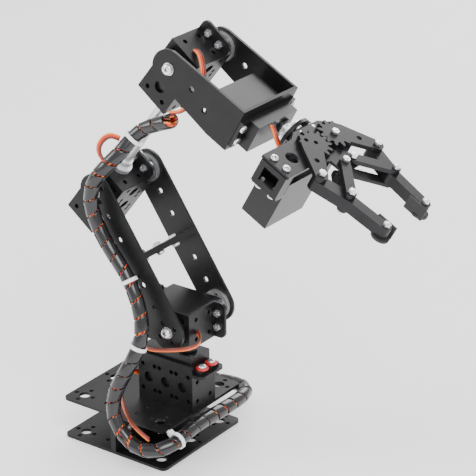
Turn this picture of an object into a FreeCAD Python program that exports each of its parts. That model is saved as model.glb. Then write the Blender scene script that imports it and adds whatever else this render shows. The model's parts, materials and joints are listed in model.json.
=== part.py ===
import FreeCAD, Part
import Sketcher
import math
import os
import re

# Desktop robot arm: five servo axes and a two-finger gripper, built from folded sheet
# brackets.  Millimetres, +Z up, +X the way the arm points, origin under the middle of the
# base.  Every servo has its own frame: origin on the shaft axis at the underside of the
# mounting ears, +z out along the shaft, +x towards the case end that is near the shaft.

SIZES = {
    "sheet": 2.0,
    "base_side": 86.0,
    "base_height": 30.0,
    "base_hole": 3.75,
    "base_hole_place": 32.4,
    "small_hole": 1.6,
    "screw_hole": 2.0,
    "mark_spread": 7.0,
    "yaw_place": 31.5,
    "spacer_height": 4.0,
    "spacer_radius": 11.0,
    "case_near": 10.2,
    "case_far": 30.4,
    "case_half": 9.85,
    "case_depth": 27.0,
    "case_top": 10.0,
    "case_wall": 1.5,
    "cover_depth": 7.0,
    "ear_near": 17.8,
    "ear_far": 38.0,
    "ear_thick": 2.5,
    "ear_hole_near": 15.2,
    "ear_hole_far": 35.4,
    "ear_hole_half": 5.0,
    "boss_radius": 6.0,
    "boss_top": 11.5,
    "spline_radius": 3.0,
    "spline_run": 0.05,
    "hub_radius": 4.5,
    "hub_bottom": 12.0,
    "horn_bottom": 16.3,
    "horn_radius": 10.0,
    "horn_thick": 2.5,
    "bracket_near": 12.4,
    "bracket_far": 32.6,
    "bracket_half": 12.5,
    "bracket_bottom": 29.2,
    "bracket_wall_top": 5.2,
    "tab_near": 21.0,
    "tab_far": 41.2,
    "tab_half": 12.5,
    "arm_axis": 51.0,
    "arm_inner": 26.5,
    "arm_half": 12.5,
    "arm_hole_low": 16.4,
    "arm_hole_high": 33.2,
    "bearing_radius": 4.0,
    "bearing_length": 2.7,
    "pivot_radius": 2.0,
    "pivot_head": 3.5,
    "shoulder_place": 36.6,
    "upper_arm_angle": 123.8,
    "servo_angle": 52.0,
    "wrist_along": 113.6,
    "wrist_across": 9.9,
    "hand_angle": 29.0,
    "hand_reach": 58.0,
    "hand_low": 18.0,
    "hand_high": 13.0,
    "roll_drop": 4.0,
    "roll_side": 10.0,
    "link_radius": 4.0,
    "flange_radius": 7.5,
    "flange_thick": 3.0,
    "mount_radius": 13.5,
    "mount_thick": 2.5,
    "claw_reach": 116.4,
    "claw_rise": 8.0,
    "gear_place": 20.0,
    "gear_half": 10.2,
    "link_half": 4.2,
    "finger_arm": 29.2,
    "arm_open": 45.0,
    "tip_place": 48.7,
    "tip_half": 22.2,
    "plate_thick": 2.0,
    "plate_gap": 0.5,
    "jaw_thick": 3.0,
    "finger_depth": 7.7,
    "layer_gap": 0.3,
    "grip_ear_drop": 22.0,
    "screw_radius": 1.5,
    "head_radius": 2.7,
    "head_height": 2.0,
    "nut_radius": 2.9,
    "ear_nut_radius": 2.7,
    "washer_radius": 4.2,
    "washer_thick": 0.9,
    "corner_radius": 4.0,
    "screw_end": 0.9,
    "mount_screw_place": 4.4,
    "mount_screw_half": 6.5,
    "nut_height": 2.4,
    "cable_radius": 5.0,
    "lead_radius": 1.1,
}

doc = FreeCAD.newDocument("robot_arm")
sheet = doc.addObject("Spreadsheet::Sheet", "sizes")
for row, (alias, number) in enumerate(SIZES.items(), 1):
    sheet.set(f"A{row}", alias)
    sheet.set(f"B{row}", str(number))
    sheet.setAlias(f"B{row}", alias)
doc.recompute()

Vector = FreeCAD.Vector
X, Y, Z = Vector(1, 0, 0), Vector(0, 1, 0), Vector(0, 0, 1)
AXIS_TURN = {
    "z": FreeCAD.Rotation(Z, 0),
    "x": FreeCAD.Rotation(Y, 90),
    "y": FreeCAD.Rotation(X, -90),
}
parts = {}


def size(alias):
    """The number in a cell of the sheet."""
    return float(getattr(sheet, alias))


def formula(text):
    """A formula in which each of the sheet's aliases carries the sheet's name."""
    return re.sub(
        r"[a-z][a-z_]+",
        lambda word: "sizes." + word.group() if word.group() in SIZES else word.group(),
        str(text),
    )


def bind(thing, **values):
    """Bind properties of an object to formulas on the sheet."""
    for name, text in values.items():
        thing.setExpression(name, formula(text))


def move(thing, x, y, z):
    """Bind the place of an object inside its own sub-part."""
    for name, text in (("x", x), ("y", y), ("z", z)):
        thing.setExpression("Placement.Base." + name, formula(text))


def box(x_low, x_high, y_low, y_high, z_low, z_high):
    """A box between two corners, each coordinate a formula."""
    thing = doc.addObject("Part::Box", "block")
    bind(
        thing,
        Length=f"({x_high}) - ({x_low})",
        Width=f"({y_high}) - ({y_low})",
        Height=f"({z_high}) - ({z_low})",
    )
    move(thing, x_low, y_low, z_low)
    return thing


def rod(x, y, z, radius, height, axis="z"):
    """A cylinder that starts at a point and runs along an axis."""
    thing = doc.addObject("Part::Cylinder", "rod")
    bind(thing, Radius=radius, Height=height)
    thing.Placement = FreeCAD.Placement(Vector(), AXIS_TURN[axis])
    move(thing, x, y, z)
    return thing


def fuse(*things):
    """One solid made of several that touch."""
    if len(things) == 1:
        return things[0]
    thing = doc.addObject("Part::MultiFuse", "joined")
    thing.Shapes = list(things)
    thing.Refine = True
    return thing


def cut(base, *tools):
    """A solid with others taken away."""
    thing = doc.addObject("Part::Cut", "trimmed")
    thing.Base = base
    thing.Tool = fuse(*tools)
    return thing


def group(*things):
    """Several separate solids that share one sub-part."""
    thing = doc.addObject("Part::Compound", "set_of_pieces")
    thing.Links = list(things)
    return thing


def keep(label, thing, placement=None):
    """Name a sub-part and put it in its place."""
    thing.Label = label
    if placement is not None:
        thing.Placement = placement
    parts[label] = thing
    return thing


def frame(origin, x_axis, z_axis):
    """The placement whose x and z axes point the given ways."""
    turn = FreeCAD.Rotation(x_axis, z_axis.cross(x_axis), z_axis, "ZXY")
    return FreeCAD.Placement(origin, turn)


def heading(angle):
    """The direction in the arm's upright plane at an angle above +X."""
    return Vector(math.cos(math.radians(angle)), 0, math.sin(math.radians(angle)))


def screw(x, y, z, length, turned=False):
    """A pan-head screw whose head stands on z; turned ones have the head below."""
    if turned:
        head = rod(x, y, f"({z}) - head_height", "head_radius", "head_height")
        shank = rod(x, y, z, "screw_radius", length)
    else:
        head = rod(x, y, z, "head_radius", "head_height")
        shank = rod(x, y, f"({z}) - ({length})", "screw_radius", length)
    return fuse(head, shank)


def nut(x, y, z, radius="nut_radius"):
    """A hexagonal nut resting on z, without its thread."""
    blank = doc.addObject("Part::Prism", "nut")
    blank.Polygon = 6
    bind(blank, Circumradius=radius, Height="nut_height")
    move(blank, x, y, z)
    return cut(blank, rod(x, y, f"({z}) - 1", "screw_radius", "nut_height + 2"))


# ---------------------------------------------------------------- sketches


def origin_plane(body, role):
    """One of a body's own origin planes."""
    return next(o for o in body.Origin.OriginFeatures if o.Role == role)


def disc_body(name, radius, thick):
    """A padded disc on the body's XY plane, radius and thickness bound to the sheet."""
    body = doc.addObject("PartDesign::Body", name)
    sketch = body.newObject("Sketcher::SketchObject", name + "_outline")
    sketch.AttachmentSupport = [(origin_plane(body, "XY_Plane"), "")]
    sketch.MapMode = "FlatFace"
    sketch.addGeometry(Part.Circle(Vector(0, 0, 0), Z, 5.0))
    sketch.addConstraint(Sketcher.Constraint("Coincident", 0, 3, -1, 1))
    ring = sketch.addConstraint(Sketcher.Constraint("Radius", 0, 5.0))
    sketch.setExpression(f"Constraints[{ring}]", formula(radius))
    pad = body.newObject("PartDesign::Pad", name + "_pad")
    pad.Profile = sketch
    bind(pad, Length=thick)
    return body


# ---------------------------------------------------------------- brackets


def hole_set(places, radius, start, length, axis):
    """Round cutters at a list of places, all along one axis."""
    cutters = []
    for a, b in places:
        point = {"x": (start, a, b), "y": (a, start, b), "z": (a, b, start)}[axis]
        cutters.append(rod(*point, radius, length, axis))
    return cutters


def ear_tab(wall, tip, way):
    """A flange bent out from an end wall of a servo bracket, with rounded outer corners."""
    shoulder = f"{tip} - {way} * corner_radius"
    inner, outer = (wall, shoulder) if way > 0 else (shoulder, wall)
    strip = (shoulder, tip) if way > 0 else (tip, shoulder)
    pieces = [
        box(inner, outer, "-tab_half", "tab_half", "-sheet", "0"),
        box(*strip, "-tab_half + corner_radius", "tab_half - corner_radius", "-sheet", "0"),
    ]
    for side in (-1, 1):
        corner = f"{side} * (tab_half - corner_radius)"
        pieces.append(rod(shoulder, corner, "-sheet", "corner_radius", "sheet"))
    return pieces


def servo_bracket(label, placement):
    """A folded bracket that holds one servo: floor, two end walls with ear tabs, one side wall."""
    floor = box(
        "-bracket_far", "bracket_near", "-bracket_half", "bracket_half",
        "-bracket_bottom", "-bracket_bottom + sheet",
    )
    walls = [
        box(low, high, "-bracket_half", "bracket_half", "-bracket_bottom", "0")
        for low, high in (
            ("bracket_near - sheet", "bracket_near"),
            ("-bracket_far", "-bracket_far + sheet"),
        )
    ]
    tabs = ear_tab("bracket_near - sheet", "tab_near", 1)
    tabs += ear_tab("-bracket_far + sheet", "-tab_far", -1)
    side = box(
        "-bracket_far", "bracket_near", "bracket_half - sheet", "bracket_half",
        "-bracket_bottom", "bracket_wall_top",
    )
    middle = "(bracket_near - bracket_far) / 2"
    big, small = [], []
    for step in (-1, 0, 1):
        x = f"{middle} + {step} * 14"
        big.append((x, "-12"))
        for dx, dz in ((-1, -1), (1, -1), (-1, 1), (1, 1)):
            small.append((f"{x} + {dx} * 5", f"-12 + {dz} * 9"))
    holes = hole_set(big, "base_hole", "bracket_half - 2 * sheet", "3 * sheet", "y")
    holes += hole_set(small, "small_hole", "bracket_half - 2 * sheet", "3 * sheet", "y")
    ear = [
        (x, f"{s} * ear_hole_half")
        for x in ("ear_hole_near", "-ear_hole_far")
        for s in (-1, 1)
    ]
    holes += hole_set(ear, "screw_hole", "-2 * sheet", "3 * sheet", "z")
    floor_big = [("0", "0"), (f"2 * {middle}", "0")]
    holes += hole_set(floor_big, "bearing_radius", "-bracket_bottom - 1", "sheet + 2", "z")
    floor_small = [
        (f"{x} + {dx} * mark_spread", f"{dy} * mark_spread")
        for x in ("0", f"2 * {middle}")
        for dx, dy in ((-1, -1), (1, -1), (-1, 1), (1, 1))
    ]
    holes += hole_set(floor_small, "small_hole", "-bracket_bottom - 1", "sheet + 2", "z")
    end = [(f"{s} * mark_spread", f"-14.6 + {t} * mark_spread") for s in (-1, 1) for t in (-1, 1)]
    holes += hole_set(end, "small_hole", "bracket_near - 2 * sheet", "3 * sheet", "x")
    holes += hole_set(end, "small_hole", "-bracket_far - sheet", "3 * sheet", "x")
    return keep(label, cut(fuse(floor, *walls, *tabs, side), *holes), placement)


def arm_bracket(label, placement):
    """A long U bracket: floor on z = 0, two legs rounded about the pivot axis."""
    outer = "arm_inner + sheet"
    solids = [box("-arm_half", "arm_half", f"-({outer})", outer, "0", "sheet")]
    for low, high in ((f"-({outer})", "-arm_inner"), ("arm_inner", outer)):
        solids.append(box("-arm_half", "arm_half", low, high, "0", "arm_axis"))
        solids.append(rod("0", low, "arm_axis", "arm_half", "sheet", "y"))
    holes = hole_set(
        [("0", "arm_hole_low"), ("0", "arm_hole_high")],
        "screw_hole", f"-({outer}) - 1", f"2 * ({outer}) + 2", "y",
    )
    holes.append(rod("0", f"-({outer}) - 1", "arm_axis", "bearing_radius", "sheet + 2", "y"))
    holes.append(rod("0", "arm_inner - 1", "arm_axis", "bearing_radius", "sheet + 2", "y"))
    ring = [
        (f"{dx} * mark_spread", f"arm_axis + {dz} * mark_spread")
        for dx, dz in ((1, 0), (-1, 0), (0, 1), (0, -1))
    ]
    holes += hole_set(ring, "small_hole", f"-({outer}) - 1", f"2 * ({outer}) + 2", "y")
    floor_marks = [("0", "0"), ("0", "15"), ("0", "-15")]
    holes += hole_set(floor_marks, "base_hole", "-1", "sheet + 2", "z")
    bolts = [(f"{s} * 8", f"{t} * 8") for s in (-1, 1) for t in (-1, 1)]
    holes += hole_set(bolts, "screw_radius", "-1", "sheet + 2", "z")
    return keep(label, cut(fuse(*solids), *holes), placement)


# ---------------------------------------------------------------- servos


def servo(name, placement):
    """One servo: a three-shell case, and its motor, gears and circuit board inside."""
    bottom = cut(
        box(
            "-case_far", "case_near", "-case_half", "case_half",
            "-case_depth", "-case_depth + cover_depth",
        ),
        box(
            "-case_far + case_wall", "case_near - case_wall",
            "-case_half + case_wall", "case_half - case_wall",
            "-case_depth + case_wall", "0",
        ),
    )
    ears = box("-ear_far", "ear_near", "-case_half", "case_half", "0", "ear_thick")
    trunk = box(
        "-case_far", "case_near", "-case_half", "case_half",
        "-case_depth + cover_depth", "ear_thick + 1",
    )
    ear_holes = [
        (x, f"{s} * ear_hole_half")
        for x in ("ear_hole_near", "-ear_hole_far")
        for s in (-1, 1)
    ]
    middle = cut(
        fuse(ears, trunk),
        box(
            "-case_far + case_wall", "case_near - case_wall",
            "-case_half + case_wall", "case_half - case_wall",
            "-case_depth", "ear_thick + 2",
        ),
        *hole_set(ear_holes, "screw_radius", "-1", "ear_thick + 2", "z"),
    )
    lid = cut(
        fuse(
            box(
                "-case_far", "case_near", "-case_half", "case_half",
                "ear_thick + 1", "case_top",
            ),
            rod("0", "0", "case_top", "boss_radius", "boss_top - case_top"),
        ),
        box(
            "-case_far + case_wall", "case_near - case_wall",
            "-case_half + case_wall", "case_half - case_wall",
            "0", "case_top - case_wall",
        ),
        rod("0", "0", "0", "spline_radius + spline_run", "boss_top + 1"),
    )
    keep(name + "_servo_case", group(bottom, middle, lid), placement)
    motor = fuse(
        rod("-18", "0", "-case_depth + 4", "6.5", "21"),
        rod("-18", "0", "-2", "1", "6"),
    )
    board = box("-8", "8", "-7", "7", "-case_depth + 3", "-case_depth + 4.6")
    pot = rod("0", "0", "-15", "5", "10")
    gears = [
        rod("-9", "0", "4.6", "5.5", "1.4"),
        rod("-13", "0", "6.4", "4", "1.4"),
    ]
    keep(name + "_servo_internals", group(motor, board, pot, *gears), placement)


def ear_screws(placement, nuts=True, lift="0", turned=False):
    """The four ear screws of a servo with their nuts; turned ones have the nuts on the ears."""
    length = "ear_thick + sheet + " + ("nut_height" if nuts else "screw_end")
    pieces = []
    for x in ("ear_hole_near", "-ear_hole_far"):
        for side in (-1, 1):
            y = f"{side} * ear_hole_half"
            start = "-sheet" if turned else f"ear_thick + {lift}"
            pieces.append(screw(x, y, start, length, turned))
            if nuts:
                rest = "ear_thick" if turned else "-sheet - nut_height"
                pieces.append(nut(x, y, rest, "ear_nut_radius"))
    screws = group(*pieces)
    screws.Placement = placement
    return screws


def pivot_screws(placement):
    """The turned ear screws of a servo, with the bolt and spacer opposite its horn."""
    pivot = group(*pivot_bolt())
    pivot.Placement = placement
    return [ear_screws(placement, turned=True), pivot]


def horn(placement, top_hub=None):
    """A metal disc horn with its hub and splined shaft; it turns with what it drives."""
    pieces = [
        rod("0", "0", "ear_thick + 2", "spline_radius", "hub_bottom - ear_thick - 2"),
        rod("0", "0", "hub_bottom", "hub_radius", "horn_bottom - hub_bottom"),
        rod("0", "0", "horn_bottom", "horn_radius", "horn_thick"),
    ]
    if top_hub:
        pieces.append(rod("0", "0", "horn_bottom + horn_thick", "hub_radius", top_hub))
    marks = [
        (f"{dx} * mark_spread", f"{dy} * mark_spread")
        for dx, dy in ((1, 0), (-1, 0), (0, 1), (0, -1))
    ]
    holes = hole_set(marks, "small_hole", "horn_bottom - 1", "horn_thick + 2", "z")
    disc = cut(fuse(*pieces), *holes)
    disc.Placement = placement
    return disc


def leg_bearing():
    """The bearing that sits in the leg opposite a horn, in the servo's frame."""
    low = "-bracket_bottom - 5"
    return cut(
        rod("0", "0", f"{low} - 2.4", "bearing_radius", "bearing_length"),
        rod("0", "0", f"{low} - 3", "pivot_radius + spline_run", "bearing_length + 2"),
    )


def pivot_bolt():
    """The bolt and spacer opposite a horn, on which the leg's bearing turns."""
    low = "-bracket_bottom - 5"
    spacer = cut(
        rod("0", "0", f"{low} + 0.6", "pivot_head", "4.4"),
        rod("0", "0", low, "pivot_radius", "6"),
    )
    bolt = fuse(
        rod("0", "0", f"{low} - 5", "pivot_head", "2.2"),
        rod("0", "0", f"{low} - 5", "pivot_radius", "12"),
    )
    return bolt, spacer


# ---------------------------------------------------------------- base

half = "base_side / 2"
top = "base_height"


def corner_cutter(x_side, y_side):
    """What a rounded corner takes off the base plates; the sides are +1 or -1."""
    low = {
        1: (f"{half} - corner_radius", f"{half} + 1"),
        -1: (f"-({half}) - 1", f"-({half}) + corner_radius"),
    }
    post = box(*low[x_side], *low[y_side], "-1", f"{top} + 1")
    round_place = [f"{side} * ({half} - corner_radius)" for side in (x_side, y_side)]
    return cut(post, rod(*round_place, "-2", "corner_radius", f"{top} + 4"))


for label, side in (("base_channel_rear", -1), ("base_channel_front", 1)):
    low, high = ("0", half) if side > 0 else (f"-({half})", "0")
    web = ("0", "sheet") if side > 0 else ("-sheet", "0")
    channel = fuse(
        box(low, high, f"-({half})", half, "0", "sheet"),
        box(low, high, f"-({half})", half, f"{top} - sheet", top),
        box(*web, f"-({half})", half, "0", top),
    )
    places = [(f"{side} * base_hole_place", f"{step} * base_hole_place") for step in (-1, 0, 1)]
    small = [
        (f"{x} + {dx} * mark_spread", f"{y} + {dy} * mark_spread")
        for x, y in places
        for dx, dy in ((1, 0), (-1, 0), (0, 1), (0, -1))
    ]
    small += [(f"{side} * 13", f"{step} * 11") for step in (-3, -2, 2, 3)]
    holes = hole_set(places, "base_hole", "-1", f"{top} + 2", "z")
    holes += hole_set(small, "small_hole", "-1", f"{top} + 2", "z")
    web_bolts = [(f"{s} * 30", "base_height / 2") for s in (-1, 1)]
    holes += hole_set(web_bolts, "screw_radius", "-2 * sheet", "4 * sheet", "x")
    holes += [corner_cutter(side, end) for end in (-1, 1)]
    keep(label, cut(channel, *holes))

# bolts that clamp the two webs
bolts = []
for side in (-1, 1):
    y = f"{side} * 30"
    bolts.append(
        fuse(
            rod("sheet", y, "base_height / 2", "head_radius", "head_height", "x"),
            rod("-sheet - nut_height", y, "base_height / 2", "screw_radius",
                "2 * sheet + nut_height", "x"),
        )
    )
    bolts.append(
        cut(
            rod("-sheet - nut_height", y, "base_height / 2", "nut_radius", "nut_height", "x"),
            rod("-sheet - nut_height - 1", y, "base_height / 2", "screw_radius",
                "nut_height + 2", "x"),
        )
    )

ear_height = size("base_height") + size("bracket_bottom")
yaw = frame(Vector(size("yaw_place"), 0, ear_height), X, Z)
middle = (size("bracket_near") - size("bracket_far")) / 2
turned = frame(yaw.Base + X * (2 * middle), -X, Z)
servo_bracket("yaw_bracket", turned)
servo("yaw", yaw)
keep("base_screws", group(*bolts, ear_screws(yaw, lift="washer_thick")))
washers = [
    cut(
        rod(x, f"{side} * ear_hole_half", "ear_thick", "washer_radius", "washer_thick"),
        rod(x, f"{side} * ear_hole_half", "ear_thick - 1", "screw_radius", "washer_thick + 2"),
    )
    for x in ("ear_hole_near", "-ear_hole_far")
    for side in (-1, 1)
]
keep("yaw_screw_washers", group(*washers), yaw)
keep("yaw_horn", horn(yaw), yaw)

# ---------------------------------------------------------------- turret and shoulder

horn_top = ear_height + size("horn_bottom") + size("horn_thick")
spacer = cut(
    disc_body("spacer_disc", "spacer_radius", "spacer_height"),
    rod("0", "0", "-1", "small_hole", "spacer_height + 2"),
)
keep("yaw_spacer", spacer, FreeCAD.Placement(Vector(size("yaw_place"), 0, horn_top), FreeCAD.Rotation()))

shoulder_height = horn_top + size("spacer_height") + size("bracket_half")
shoulder_point = Vector(size("shoulder_place"), 0, shoulder_height)
horn_lift = size("arm_inner") - size("horn_bottom") - size("horn_thick")


def side_servo(point, angle):
    """The frame of a servo whose shaft points along +Y and whose near end points at an angle."""
    return frame(point + Y * horn_lift, heading(angle), Y)


shoulder = side_servo(shoulder_point, 0)
servo_bracket("shoulder_bracket", shoulder)
servo("shoulder", shoulder)
keep("shoulder_screws", group(*pivot_screws(shoulder)))

# ---------------------------------------------------------------- upper arm

arm_way = heading(size("upper_arm_angle"))
joint_point = shoulder_point + arm_way * size("arm_axis")
elbow_point = joint_point + arm_way * size("arm_axis")
across_arm = Y.cross(arm_way)
arm_bracket("lower_arm_bracket", frame(joint_point, across_arm, -arm_way))
arm_bracket("upper_arm_bracket", frame(joint_point, -across_arm, arm_way))
pieces = []
for a in (-1, 1):
    for b in (-1, 1):
        pieces.append(screw(f"{a} * 8", f"{b} * 8", "sheet", "2 * sheet + nut_height"))
        pieces.append(nut(f"{a} * 8", f"{b} * 8", "-sheet - nut_height"))
keep("arm_joint_bolts", group(*pieces), frame(joint_point, across_arm, arm_way))

# ---------------------------------------------------------------- elbow, forearm, wrist pitch

servo_way = heading(size("servo_angle"))
side_way = Y.cross(servo_way)
elbow = side_servo(elbow_point, size("servo_angle"))
servo_bracket("elbow_bracket", elbow)
servo("elbow", elbow)
keep("arm_horns", group(horn(shoulder), horn(elbow)))
bearings = [leg_bearing(), leg_bearing()]
for bearing, place in zip(bearings, (shoulder, elbow)):
    bearing.Placement = place
keep("arm_bearings", group(*bearings))

wrist_point = (
    elbow_point + servo_way * size("wrist_along") - side_way * size("wrist_across")
)
pitch = side_servo(wrist_point, size("servo_angle"))
servo_bracket("wrist_bracket", pitch)
servo("wrist_pitch", pitch)
keep("forearm_screws", group(*pivot_screws(elbow), *pivot_screws(pitch)))
keep("wrist_horn", horn(pitch), pitch)
keep("wrist_bearing", leg_bearing(), pitch)

# turned aluminium column between the end walls of the elbow and wrist brackets
column_start = "bracket_near"
column_end = "wrist_along - bracket_far"
column = fuse(
    rod(column_start, "0", "0", "flange_radius", "flange_thick", "x"),
    rod(column_start, "0", "0", "link_radius + 1.5", "flange_thick + 5", "x"),
    rod(column_start, "0", "0", "link_radius", f"{column_end} - ({column_start})", "x"),
    rod(f"{column_end} - flange_thick", "0", "0", "flange_radius", "flange_thick", "x"),
)
column_base = (
    elbow.Base - side_way * (size("wrist_across") / 2) - Y * (size("bracket_bottom") / 2)
)
keep("forearm_column", column, frame(column_base, servo_way, Y))

# ---------------------------------------------------------------- hand bracket and wrist roll

hand_way = heading(-size("hand_angle"))


def plate(outline, thick, low):
    """A flat solid from an outline of (x, y) points, standing on z = low."""
    loop = Part.makePolygon([Vector(x, y, low) for x, y in outline + outline[:1]])
    return Part.Face(loop).extrude(Vector(0, 0, thick))


def hand_bracket():
    """The wide U bracket of the hand: two tapered legs and an end plate with a servo window."""
    reach, inner, thick = size("hand_reach"), size("arm_inner"), size("sheet")
    low, high, nose = -size("hand_low"), size("hand_high"), size("arm_half")
    legs = []
    for start in (inner, -inner - thick):
        outline = [
            (0, nose), (reach, high), (reach, low), (reach - 16, low), (-nose * 0.42, -nose * 0.91),
        ]
        leg = plate(outline, thick, 0)
        leg = leg.fuse(Part.makeCylinder(nose, thick))
        leg.Placement = FreeCAD.Placement(Vector(0, start + thick, 0), FreeCAD.Rotation(X, 90))
        legs.append(leg)
    end = Part.makeBox(thick, 2 * (inner + thick), high - low, Vector(reach - thick, -inner - thick, low))
    solid = legs[0].fuse([legs[1], end])
    clear = 0.4
    window = Part.makeBox(
        3 * thick,
        size("case_near") + size("case_far") + 2 * clear,
        2 * (size("case_half") + clear),
        Vector(
            reach - 2 * thick,
            size("roll_side") - size("case_far") - clear,
            -size("roll_drop") - size("case_half") - clear,
        ),
    )
    cutters = [window]
    axle = Part.makeCylinder(size("bearing_radius"), 4 * inner, Vector(0, -2 * inner, 0), Y)
    cutters.append(axle)
    for turn in range(4):
        angle = math.radians(90 * turn)
        spot = Vector(
            size("mark_spread") * math.cos(angle), inner - 1, size("mark_spread") * math.sin(angle)
        )
        cutters.append(Part.makeCylinder(size("small_hole"), thick + 2, spot, Y))
    for x, z in ((20, 0), (34, -6)):
        cutters.append(Part.makeCylinder(size("screw_hole"), 4 * inner, Vector(x, -2 * inner, z), Y))
    for y in (size("ear_hole_near"), -size("ear_hole_far")):
        for side in (-1, 1):
            spot = Vector(
                reach - 2 * thick,
                size("roll_side") + y,
                -size("roll_drop") + side * size("ear_hole_half"),
            )
            cutters.append(Part.makeCylinder(size("screw_hole"), 4 * thick, spot, X))
    return solid.cut(cutters).removeSplitter()


def feature(label, shape, placement=None):
    """A sub-part whose shape is made directly."""
    thing = doc.addObject("Part::Feature", label)
    thing.Shape = shape
    return keep(label, thing, placement)


hand = FreeCAD.Placement(wrist_point, FreeCAD.Rotation(Y, size("hand_angle")))
feature("hand_bracket", hand_bracket(), hand)
hand_up = hand.Rotation.multVec(Z)
roll_point = (
    wrist_point + hand_way * size("hand_reach") + Y * size("roll_side")
    - hand_up * size("roll_drop")
)
roll = frame(roll_point, Y, hand_way)
servo("roll", roll)
keep("roll_servo_screws", ear_screws(roll, nuts=False), roll)
keep("roll_horn", horn(roll), roll)

# ---------------------------------------------------------------- gripper base

mount_low = size("horn_bottom") + size("horn_thick")
claw_origin = (
    wrist_point + hand_way * size("claw_reach") + Y * size("roll_side")
    + hand_up * size("claw_rise")
)
claw = FreeCAD.Placement(claw_origin, hand.Rotation)
disc_back = size("hand_reach") + mount_low - size("claw_reach")
disc_front = disc_back + size("mount_thick")
plate_top = -size("plate_gap")
plate_low = plate_top - size("plate_thick")
drop = size("claw_rise") + size("roll_drop")
screw_x = disc_front + size("mount_screw_place")


def tube_hole(x, y, radius, low, high):
    """A round cutter along z between two heights."""
    return Part.makeCylinder(radius, high - low, Vector(x, y, low))


def claw_mount():
    """The round disc on the roll horn, with the folded tongue that carries the claw plate."""
    thick = size("plate_thick")
    disc = Part.makeCylinder(
        size("mount_radius"), size("mount_thick"), Vector(disc_back, 0, -drop), X
    )
    tongue = Part.makeBox(7, 20, thick, Vector(disc_front - 0.5, -10, plate_low - thick))
    gusset = Part.makeBox(thick, 20, drop + plate_low, Vector(disc_front - 0.5, -10, -drop))
    solid = disc.fuse([tongue, gusset])
    marks = [
        Part.makeCylinder(
            size("small_hole"), 10,
            Vector(disc_back - 1, 10.5 * math.cos(a), -drop + 10.5 * math.sin(a)), X,
        )
        for a in (math.radians(40 + 72 * n) for n in range(5))
    ]
    hub = Part.makeCylinder(3.2, 10, Vector(disc_back - 1, 0, -drop), X)
    marks += [
        Part.makeCylinder(
            2.9, 2.2,
            Vector(disc_front, 10.5 * math.cos(a), -drop + 10.5 * math.sin(a)), X,
        )
        for a in (math.radians(40 + 72 * n) for n in range(5))
    ]
    screws = [
        tube_hole(
            screw_x, side * size("mount_screw_half"), size("screw_radius"),
            plate_low - 5, plate_top + 1,
        )
        for side in (-1, 1)
    ]
    return solid.cut(marks + [hub] + screws).removeSplitter()


feature("claw_mount", claw_mount(), claw)

gear_x, gear_y = -size("gear_place"), size("gear_half")
servo_ends = [-gear_y + size("ear_hole_near"), -gear_y - size("ear_hole_far")]
plate_back = disc_front + 2.2


def claw_plate():
    """The claw's base plate: servo end, gear pivots and a front tongue for the link pivots."""
    outline = [
        (plate_back, -13), (-31, -20), (-31, -50), (-9, -50), (-9, -20), (-6, -9.5),
        (5, -9.0), (5, 9.0), (-6, 9.5), (-10, 21), (-30, 21), (plate_back, 13),
    ]
    solid = plate(outline, size("plate_thick"), plate_low)
    low, high = plate_low - 1, plate_top + 1
    cutters = [tube_hole(gear_x, -gear_y, size("hub_radius") + 1, low, high)]
    cutters.append(tube_hole(gear_x, gear_y, size("screw_radius"), low, high))
    for side in (-1, 1):
        cutters.append(tube_hole(0, side * size("link_half"), size("screw_radius"), low, high))
        cutters.append(tube_hole(screw_x, side * size("mount_screw_half"), size("screw_radius"), low, high))
        for y in servo_ends:
            spot = gear_x + side * size("ear_hole_half")
            cutters.append(tube_hole(spot, y, size("screw_radius"), low, high))
    cutters.append(tube_hole(gear_x, -33, 4.5, low, high))
    return solid.cut(cutters).removeSplitter()


feature("claw_base_plate", claw_plate(), claw)

grip_ear = -size("grip_ear_drop")
grip = frame(
    claw.multVec(Vector(gear_x, -gear_y, grip_ear)), Y, hand_up
)
servo("grip", grip)
keep("grip_horn", horn(grip, "plate_gap + plate_thick + grip_ear_drop - 21.3"), grip)


def grip_frame():
    """Two channel-shaped end pieces between the gripper servo's ears and the claw plate."""
    low, high = grip_ear + size("ear_thick"), plate_low
    pieces = []
    for y, inward in ((servo_ends[1] - 5, 1), (servo_ends[0] + 2.0, -1)):
        length = 9.0 if inward > 0 else 5.5
        y_low = min(y, y + inward * length)
        shell = Part.makeBox(20, length, high - low, Vector(gear_x - 10, y_low, low))
        hollow_y = y_low + 2 if inward > 0 else y_low - 2
        hollow = Part.makeBox(16, length, high - low - 4, Vector(gear_x - 8, hollow_y, low + 2))
        window = Part.makeBox(12, 40, high - low - 7, Vector(gear_x - 6, y_low - 10, low + 3.5))
        holes = [
            tube_hole(gear_x + side * size("ear_hole_half"), servo_ends[1 if inward > 0 else 0],
                      size("screw_radius"), low - 1, high + 1)
            for side in (-1, 1)
        ]
        pieces.append(shell.cut([hollow, window] + holes))
    return Part.Compound(pieces)


feature("grip_servo_frame", grip_frame(), claw)


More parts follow.
